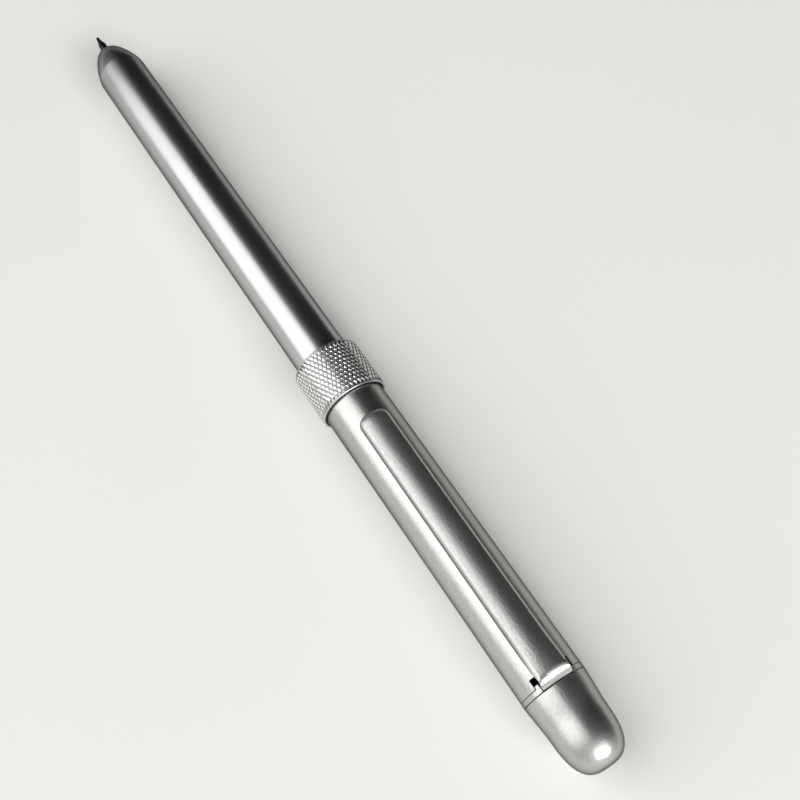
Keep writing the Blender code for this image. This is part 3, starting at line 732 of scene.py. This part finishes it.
def pressed_graphite():
    """Baked graphite: near black with a soft grey shine."""
    made, tree, shader, place = start_material("graphite", 0.2)
    grain = place_group(tree, blasted_grain, {"Vector": place, "Grains per metre": 12000.0})
    colour = colour_mix(tree, grain.outputs["Tone"], (0.05, 0.05, 0.055), (0.10, 0.10, 0.11))
    tree.links.new(colour, shader.inputs["Base Color"])
    tree.links.new(value_range(tree, grain.outputs["Tone"], 0.34, 0.46), shader.inputs["Roughness"])
    return made


graphite = pressed_graphite()
pencil_cone = turned("pencil_cone_turned", [
    (64.40, 0.60, 0.06),
    (61.00, 0.858, 0.1),
    (56.50, 1.128, 0.1),
    (54.00, 1.1515, 0.04),
    (54.00, 0.9165),
    (61.10, 0.9165),
    (61.40, 0.505),
    (64.40, 0.505),
], steel, 64, pencil_pivot)
lead_sleeve = turned("lead_sleeve_drawn", [
    (67.0, 0.41, 0.03),
    (61.6, 0.41),
    (61.6, 0.31),
    (67.0, 0.31, 0.03),
], steel, 40, pencil_pivot)
pencil_lead = turned("pencil_lead_stick", [
    (66.7, 0.0),
    (66.7, 0.25, 0.05),
    (35.0, 0.25, 0.02),
    (35.0, 0.0),
], graphite, 32, pencil_pivot)
for piece, node, slot in (
    (pencil_cone, "pencil_cone", "steel"),
    (lead_sleeve, "lead_sleeve", "steel"),
    (pencil_lead, "pencil_lead", "graphite"),
):
    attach(piece, "pencil_unit")
    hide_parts(node)


# Rear barrel
# A turned brass tube, blasted and plated like the front one. It turns on the coupler and the carrier,
# its front edge runs inside the ring, and a notch in its rear edge lets the clip out.
rear_radius = 4.58
rear_bore = 4.03
rear_start = 11.75
rear_end = 60.85
groove_start = 43.05
groove_end = 44.05
groove_radius = 4.29
notch_end = 13.10
notch_half = 2.8
rear_corners = [
    (rear_end, rear_radius - 0.02, 0.08),
    (rear_end - 0.12, rear_radius),
    (50.0, rear_radius),
    (40.0, rear_radius),
    (30.0, rear_radius),
    (20.0, rear_radius),
    (rear_start + 0.01, rear_radius, 0.08),
    (rear_start, rear_bore, 0.04),
    (groove_start, rear_bore),
    (groove_start, groove_radius),
    (groove_end, groove_radius),
    (groove_end, rear_bore),
    (rear_end, rear_bore, 0.04),
]


def notched(shell, low, high):
    """A turned shell with a block taken out between two corners, in stations, sides and heights."""
    block = bmesh.new()
    bmesh.ops.create_cube(block, size=1.0)
    for vertex in block.verts:
        share = vertex.co + Vector((0.5, 0.5, 0.5))
        vertex.co = Vector((
            low[0] + (high[0] - low[0]) * share.x - pen_length / 2,
            low[1] + (high[1] - low[1]) * share.y,
            low[2] + (high[2] - low[2]) * share.z + axis_height,
        )) * MM
    mesh = bpy.data.meshes.new("notch_block")
    block.to_mesh(mesh)
    block.free()
    cutter = bpy.data.objects.new("notch_block", mesh)
    bpy.context.scene.collection.objects.link(cutter)
    cut = shell.modifiers.new("notch", "BOOLEAN")
    cut.object = cutter
    cut.operation = "DIFFERENCE"
    cut.solver = "EXACT"
    graph = bpy.context.evaluated_depsgraph_get()
    made = bpy.data.meshes.new_from_object(shell.evaluated_get(graph))
    shell.modifiers.clear()
    shell.data = made
    made.set_sharp_from_angle(angle=math.radians(crease_angle))
    bpy.data.objects.remove(cutter)
    return shell


satin_metal = satin_plating("satin_metal", (0.46, 0.46, 0.45), (0.63, 0.63, 0.62), 0.32, 0.05, 4500.0, 0.60)
rear_barrel = turned("rear_barrel_shell", rear_corners, satin_metal, facets=160)
rear_barrel = notched(rear_barrel, (rear_start - 2.0, -notch_half, 1.0), (notch_end, notch_half, 6.0))
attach(rear_barrel, "rear")
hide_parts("rear_barrel")


# Tail plug
# A brass plug pressed into the rear barrel, coloured near black as painted shade for the dark inside of the
# barrel's notch. A flat on it seats the clip's foot, a well under the barrel's notch clears the clip, and
# its spigot carries the collar, the cap and the ferrule.
plug_radius = 3.98
spigot_radius = 3.45
flat_height = 3.12
flat_half = 2.325
well_floor = 1.725
well_half = 2.9
# Painted shade: a near-black colour for the plug, so the notch's windows show dark.
shade_black_plug_metal = turned_metal("shade_black_plug_metal", (0.012, 0.012, 0.013), (0.04, 0.04, 0.042), 0.45)
tail_plug = turned("tail_plug_turned", [
    (19.95, 2.4),
    (19.95, 3.83, 0.06),
    (19.65, plug_radius),
    (11.95, plug_radius, 0.06),
    (11.95, spigot_radius),
    (8.60, spigot_radius),
    (8.50, 3.38, 0.04),
    (8.30, 3.38, 0.04),
    (8.20, spigot_radius),
    (5.80, spigot_radius, 0.08),
    (5.50, 3.15, 0.08),
    (5.50, 2.65, 0.05),
    (9.90, 2.65),
    (9.90, 1.0),
    (15.95, 1.0),
    (15.95, 2.4),
], shade_black_plug_metal, 96)
tail_plug = notched(tail_plug, (10.90, -flat_half, flat_height), (12.05, flat_half, 5.2))
tail_plug = notched(tail_plug, (11.85, -well_half, well_floor), (13.30, well_half, 5.2))
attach(tail_plug, "rear")
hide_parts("tail_plug")


# Clip
# Spring steel sheet, pressed to a slight crown with turned-down walls and a domed end, then plated.
# Its foot turns down beside the collar to a flat on the plug, and its free end flares off the barrel.
clip_foot = 11.10
clip_crest = 5.60
clip_sheet = 0.55
clip_root_half = 2.175
clip_wide_half = 2.30
clip_end_half = 2.27
clip_end = 53.90
clip_round = 1.8
clip_fall = 1.20
clip_fullness = 2.4
clip_lift = 0.25
crown_at_bend = 0.6
crown_run = 5.0
cut_ease = 0.09
end_turn = math.radians(88.5)
foot_bottom = 3.25
bend_radius = 1.7
foot_slope = math.radians(51.0)
slope_run = 0.40
clip_start = clip_foot + slope_run + bend_radius * math.sin(foot_slope)
clip_span = clip_end - clip_round - clip_start


def clip_rows():
    """(station, height, direction, half width, crown share, end angle) along the clip's outside."""
    slope_rise = slope_run * math.tan(foot_slope)
    foot_top = clip_crest - bend_radius * (1 - math.cos(foot_slope)) - slope_rise
    widening = clip_wide_half - clip_root_half
    rows = []
    for i in range(6):
        height = foot_bottom + (foot_top - foot_bottom) * i / 6
        rows.append((clip_foot, height, math.pi / 2, clip_root_half, 0.0, 0.0))
    rows.append((clip_foot, foot_top, (math.pi / 2 + foot_slope) / 2, clip_root_half, 0.0, 0.0))
    for share in (0.5, 0.75):
        height = foot_top + slope_rise * share
        rows.append((clip_foot + slope_run * share, height, foot_slope, clip_root_half, 0.0, 0.0))
    for i in range(19):
        direction = foot_slope * (1 - i / 18)
        station = clip_start - bend_radius * math.sin(direction)
        height = clip_crest - bend_radius * (1 - math.cos(direction))
        half = clip_root_half + widening * 0.5 * (i / 18) ** 2
        rows.append((station, height, direction, half, crown_at_bend * (i / 18) ** 2, 0.0))
    for i in range(1, 61):
        share = (i / 60) ** 1.25
        height = clip_crest + clip_lift * max(0.0, 2 * share - 1) ** 2
        flare = 0.5 + 0.5 * min(1.0, clip_span * share)
        half = clip_root_half + widening * flare + (clip_end_half - clip_wide_half) * share
        crown_turn = min(1.0, clip_span * share / crown_run) * math.pi / 2
        crown = min(1.0, crown_at_bend + (1 - crown_at_bend) * math.sin(crown_turn))
        rows.append((clip_start + clip_span * share, height, 0.0, half, crown, 0.0))
    for i in range(1, 21):
        end = end_turn * i / 20
        rows.append((clip_start + clip_span, clip_crest + clip_lift, 0.0, clip_end_half, 1.0, end))
    return rows


def clip_section():
    """(side, fall) from crest to edge: a slight crown, a tight shoulder and a wall that turns upright."""
    crown = Vector((1.53, 0.29))
    corner = Vector((1.75, 0.36))
    shoulder = Vector((1.83, 0.46))
    bulge = Vector((clip_root_half, 0.78))
    edge = Vector((clip_root_half, clip_fall))
    line = [Vector((crown.x * k / 8, crown.y * (k / 8) ** 2)) for k in range(9)]
    for start, middle, stop in ((crown, corner, shoulder), (shoulder, bulge, edge)):
        for k in range(1, 6):
            share = k / 5
            line.append(start * (1 - share) ** 2 + middle * 2 * share * (1 - share) + stop * share ** 2)
    return line


def clip_skin(work, depth):
    """Rows of vertices of the clip's skin at a depth under its outside."""
    half_section = clip_section()
    section = [(-point.x, point.y) for point in reversed(half_section[1:])]
    section += [(point.x, point.y) for point in half_section]
    power = 2 / clip_fullness
    skin = []
    for station, height, direction, half, share, end in clip_rows():
        wide = (half - depth * share) / clip_root_half
        shrink = math.cos(end) ** power
        reach = (clip_round - depth) * math.sin(end) ** power
        row = []
        for side, drop in section:
            fall = depth + (clip_fall - depth) * share * (1 - shrink * (1 - drop / clip_fall))
            row.append(work.verts.new(Vector((
                station + reach + math.sin(direction) * fall - pen_length / 2,
                side * wide * shrink,
                height - math.cos(direction) * fall + axis_height,
            )) * MM))
        skin.append(row)
    return skin


def build_clip():
    """The outer and inner skin, closed by the cut edge of the sheet, which is rounded."""
    work = bmesh.new()
    outer = clip_skin(work, 0.0)
    inner = clip_skin(work, clip_sheet)
    last = len(outer[0]) - 1
    for r in range(len(outer) - 1):
        for k in range(last):
            work.faces.new((outer[r][k], outer[r + 1][k], outer[r + 1][k + 1], outer[r][k + 1]))
            work.faces.new((inner[r][k], inner[r][k + 1], inner[r + 1][k + 1], inner[r + 1][k]))
        work.faces.new((outer[r][0], inner[r][0], inner[r + 1][0], outer[r + 1][0]))
        work.faces.new((outer[r][last], outer[r + 1][last], inner[r + 1][last], inner[r][last]))
    for k in range(last):
        work.faces.new((outer[0][k], outer[0][k + 1], inner[0][k + 1], inner[0][k]))
        work.faces.new((outer[-1][k], inner[-1][k], inner[-1][k + 1], outer[-1][k + 1]))
    sheet = smooth_object("clip_sheet", work, clip_metal)
    ease = sheet.modifiers.new("ease", "BEVEL")
    ease.width = cut_ease * MM
    ease.segments = 3
    ease.limit_method = "ANGLE"
    ease.angle_limit = math.radians(50.0)
    return smooth_object("clip_pressed", applied_shape(sheet), clip_metal)


def paint_edge_shade(paint, tall, shade):
    """Paint shade on the clip's walls: base colour and edge tint darken towards their cut edge, which lifts
    with the free end.
    """
    tree = paint.node_tree
    shader = tree.nodes["Principled BSDF"]
    start = clip_start - pen_length / 2
    middle = start + clip_span / 2
    edge = axis_height + clip_crest - clip_fall
    fade_run = 2.0
    place = tree.nodes.new("ShaderNodeTexCoord").outputs["Object"]
    parts = add_node(tree, "ShaderNodeSeparateXYZ", {"Vector": place})
    share = add_node(tree, "ShaderNodeMapRange", {
        "Value": parts.outputs["X"], "From Min": middle * MM, "From Max": (start + clip_span) * MM})
    lift = add_node(tree, "ShaderNodeMath", {
        0: share.outputs["Result"], 1: share.outputs["Result"]}, operation="MULTIPLY")
    level = add_node(tree, "ShaderNodeMath", {
        0: lift.outputs["Value"], 1: -clip_lift * MM, 2: parts.outputs["Z"]}, operation="MULTIPLY_ADD")
    near_edge = add_node(tree, "ShaderNodeMapRange", {
        "Value": level.outputs["Value"],
        "From Min": edge * MM, "From Max": (edge + tall) * MM, "To Min": 1.0, "To Max": 0.0})
    past_foot = add_node(tree, "ShaderNodeMapRange", {
        "Value": parts.outputs["X"], "From Min": start * MM, "From Max": (start + fade_run) * MM})
    both = add_node(tree, "ShaderNodeMath", {
        0: near_edge.outputs["Result"], 1: past_foot.outputs["Result"]}, operation="MULTIPLY")
    edge_shade = both.outputs["Value"]
    base = shader.inputs["Base Color"]
    tree.links.new(colour_mix(tree, edge_shade, base.links[0].from_socket, shade), base)
    tint = shader.inputs["Specular Tint"]
    tree.links.new(colour_mix(tree, edge_shade, tint.default_value[:3], (0.0, 0.0, 0.0)), tint)


clip_metal = satin_plating("clip_metal", (0.43, 0.43, 0.42), (0.63, 0.63, 0.62), 0.37, 0.9, 4000.0, 0.85)
# Painted shade along the lower part of the clip's walls.
paint_edge_shade(clip_metal, 0.70, (0.04, 0.04, 0.04))
clip = build_clip()
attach(clip, "clip")
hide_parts("clip")


# Collar
# A narrow plated band on the plug's spigot, between the rear barrel's end and the cap. It is open
# at the top, where the clip's foot fills it, and a tongue on each side keys into the barrel's notch.
band_rear = 11.04
band_front = 11.71
band_bore = 3.55
tongue_front = 12.15
tongue_radius = 4.40
tongue_low = 2.9
tongue_inner = 2.235
tongue_outer = 2.74
clear = 6.0
clip_collar = turned("clip_collar_band", [
    (tongue_front, rear_bore, 0.03),
    (tongue_front, tongue_radius, 0.05),
    (band_front, tongue_radius),
    (band_front, rear_radius, 0.07),
    (band_rear, rear_radius, 0.07),
    (band_rear, band_bore, 0.04),
    (band_front, band_bore, 0.04),
    (band_front, rear_bore),
], satin_metal, facets=160)
clip_collar = notched(clip_collar, (10.0, -tongue_inner, 1.0), (13.0, tongue_inner, clear))
clip_collar = notched(clip_collar, (band_front, -clear, -clear), (13.0, clear, tongue_low))
clip_collar = notched(clip_collar, (band_front, -clear, 2.0), (13.0, -tongue_outer, clear))
clip_collar = notched(clip_collar, (band_front, tongue_outer, 2.0), (13.0, clear, clear))
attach(clip_collar, "rear")
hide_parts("clip_collar")


# Eraser and ferrule
# A stick of white rubber in a thin rolled steel ferrule, pushed into the end of the plug.
# It shows when the cap is off.


def eraser_stick():
    """White rubber, a little dusty, with graphite smudges in patches."""
    made, tree, shader, place = start_material("eraser_rubber", 0.0)
    grain = place_group(tree, blasted_grain, {"Vector": place, "Grains per metre": 3500.0})
    smudge = place_group(tree, handling_haze, {"Vector": place, "Clouds per metre": 700.0})
    clean = colour_mix(tree, grain.outputs["Tone"], (0.78, 0.77, 0.74), (0.88, 0.87, 0.84))
    soft = add_node(tree, "ShaderNodeMapRange", {
        "Value": smudge.outputs["Haze"], "From Min": 0.55, "From Max": 1.0, "To Max": 0.35})
    worn = colour_mix(tree, soft.outputs["Result"], clean, (0.45, 0.45, 0.46))
    tree.links.new(worn, shader.inputs["Base Color"])
    tree.links.new(value_range(tree, grain.outputs["Tone"], 0.75, 0.9), shader.inputs["Roughness"])
    add_relief(tree, shader, grain.outputs["Height"], 0.25, 0.05)
    return made


eraser_rubber = eraser_stick()
ferrule = turned("eraser_ferrule_rolled", [
    (9.70, 2.53, 0.04),
    (6.20, 2.53),
    (6.10, 2.46, 0.05),
    (5.95, 2.46, 0.05),
    (5.85, 2.53),
    (4.90, 2.53, 0.05),
    (4.90, 2.25, 0.04),
    (9.70, 2.25),
], steel, 72)
eraser = turned("eraser_stick", [
    (9.50, 0.0),
    (9.50, 2.15, 0.2),
    (3.40, 2.15, 0.5),
    (3.40, 0.0),
], eraser_rubber, 72)
for piece, node, slot in ((ferrule, "eraser_ferrule", "steel"), (eraser, "eraser", "eraser_rubber")):
    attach(piece, "rear")
    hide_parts(node)


# Cap
# A turned and plated end cap with a full dome, bored to slide on the plug's spigot.
# It pulls straight off to bare the eraser.
cap_mouth = 10.96
cap_bore = 3.57
dome_length = 6.9
dome_radius = 4.23
dome_fullness = 2.95
cap_corners = [
    (1.90, 0.0),
    (1.90, 2.67, 0.2),
    (2.80, cap_bore, 0.2),
    (cap_mouth, cap_bore, 0.04),
    (cap_mouth, rear_radius - 0.01, 0.08),
    (10.85, rear_radius - 0.004),
    (9.00, 4.43),
    (8.00, 4.34),
]
for i in range(41):
    station = dome_length * (1 - math.cos(math.pi / 2 * (1 - i / 40)))
    cap_corners.append((station, dome_radius * fullness(station / dome_length, dome_fullness)))
cap = turned("cap_dome", cap_corners, satin_metal, facets=160)
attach(cap, "cap")
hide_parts("cap")


# Floor, light and camera
# The pen lies on a pale matt table under one broad soft lamp on its +Y side and a smaller, brighter
# one beyond the cap, with a dark room on the other side. The camera is fitted to the photograph.
table_half = 3.0
table_height = -0.02 * MM


def table_top():
    """Pale matt table with faint clouds in its tone."""
    made, tree, shader, place = start_material("table_top", 0.0)
    cloud = add_node(tree, "ShaderNodeTexNoise", {
        "Vector": place, "Scale": 9.0, "Detail": 5.0, "Roughness": 0.6})
    colour = colour_mix(tree, cloud.outputs["Fac"], (0.834, 0.827, 0.806), (0.866, 0.861, 0.845))
    tree.links.new(colour, shader.inputs["Base Color"])
    shader.inputs["Roughness"].default_value = 0.6
    shader.inputs["Specular IOR Level"].default_value = 0.2
    return made


floor_mesh = bpy.data.meshes.new("table")
floor_mesh.from_pydata([
    (-table_half, -table_half, table_height),
    (table_half, -table_half, table_height),
    (table_half, table_half, table_height),
    (-table_half, table_half, table_height),
], [], [(0, 1, 2, 3)])
floor_mesh.materials.append(table_top())
floor = bpy.data.objects.new("table", floor_mesh)
bpy.context.scene.collection.objects.link(floor)


def soft_lamp(name, place, target, width, height, radiance):
    """A rectangular lamp that faces a target and shines with a given radiance."""
    lamp = bpy.data.lights.new(name, "AREA")
    lamp.shape = "RECTANGLE"
    lamp.size = width
    lamp.size_y = height
    lamp.energy = radiance * math.pi * width * height
    made = bpy.data.objects.new(name, lamp)
    made.location = place
    made.rotation_euler = (Vector(target) - Vector(place)).to_track_quat("-Z", "Y").to_euler()
    bpy.context.scene.collection.objects.link(made)


soft_lamp(
    "broad_lamp", place=(0.475, 0.72, 0.733), target=(0.475, -0.03, 0.033),
    width=1.39, height=1.41, radiance=1.75)
soft_lamp(
    "rear_lamp", place=(-0.97, -0.05, 0.62), target=(0.0, 0.0, 0.0),
    width=0.80, height=0.40, radiance=9.0)

world = bpy.data.worlds.new("studio")
bpy.context.scene.world = world
world.use_nodes = True
sky = world.node_tree
facing = sky.nodes.new("ShaderNodeTexCoord").outputs["Generated"]
parts = add_node(sky, "ShaderNodeSeparateXYZ", {"Vector": facing})
side = add_node(sky, "ShaderNodeMapRange", {
    "Value": parts.outputs["Y"], "From Min": -0.15, "From Max": 0.6, "To Min": 0.015, "To Max": 0.34})
rear = add_node(sky, "ShaderNodeMapRange", {
    "Value": parts.outputs["X"], "From Min": -0.25, "From Max": -0.6, "To Min": 0.0, "To Max": 0.5})
strength = add_node(sky, "ShaderNodeMath", {
    0: side.outputs["Result"], 1: rear.outputs["Result"]}, operation="ADD")
sky.nodes["Background"].inputs["Color"].default_value = (1.0, 0.99, 0.97, 1.0)
sky.links.new(strength.outputs["Value"], sky.nodes["Background"].inputs["Strength"])

lens = bpy.data.cameras.new("camera")
lens.lens = 46.8
lens.sensor_width = 36.0
lens.clip_start = 0.005
camera = bpy.data.objects.new("camera", lens)
camera.location = (-0.07445402, 0.02684262, 0.13711192)
camera.rotation_euler = [math.radians(a) for a in (26.6586, 1.7207, -122.7978)]
bpy.context.scene.collection.objects.link(camera)
bpy.context.scene.camera = camera
bpy.context.scene.view_settings.view_transform = "Standard"
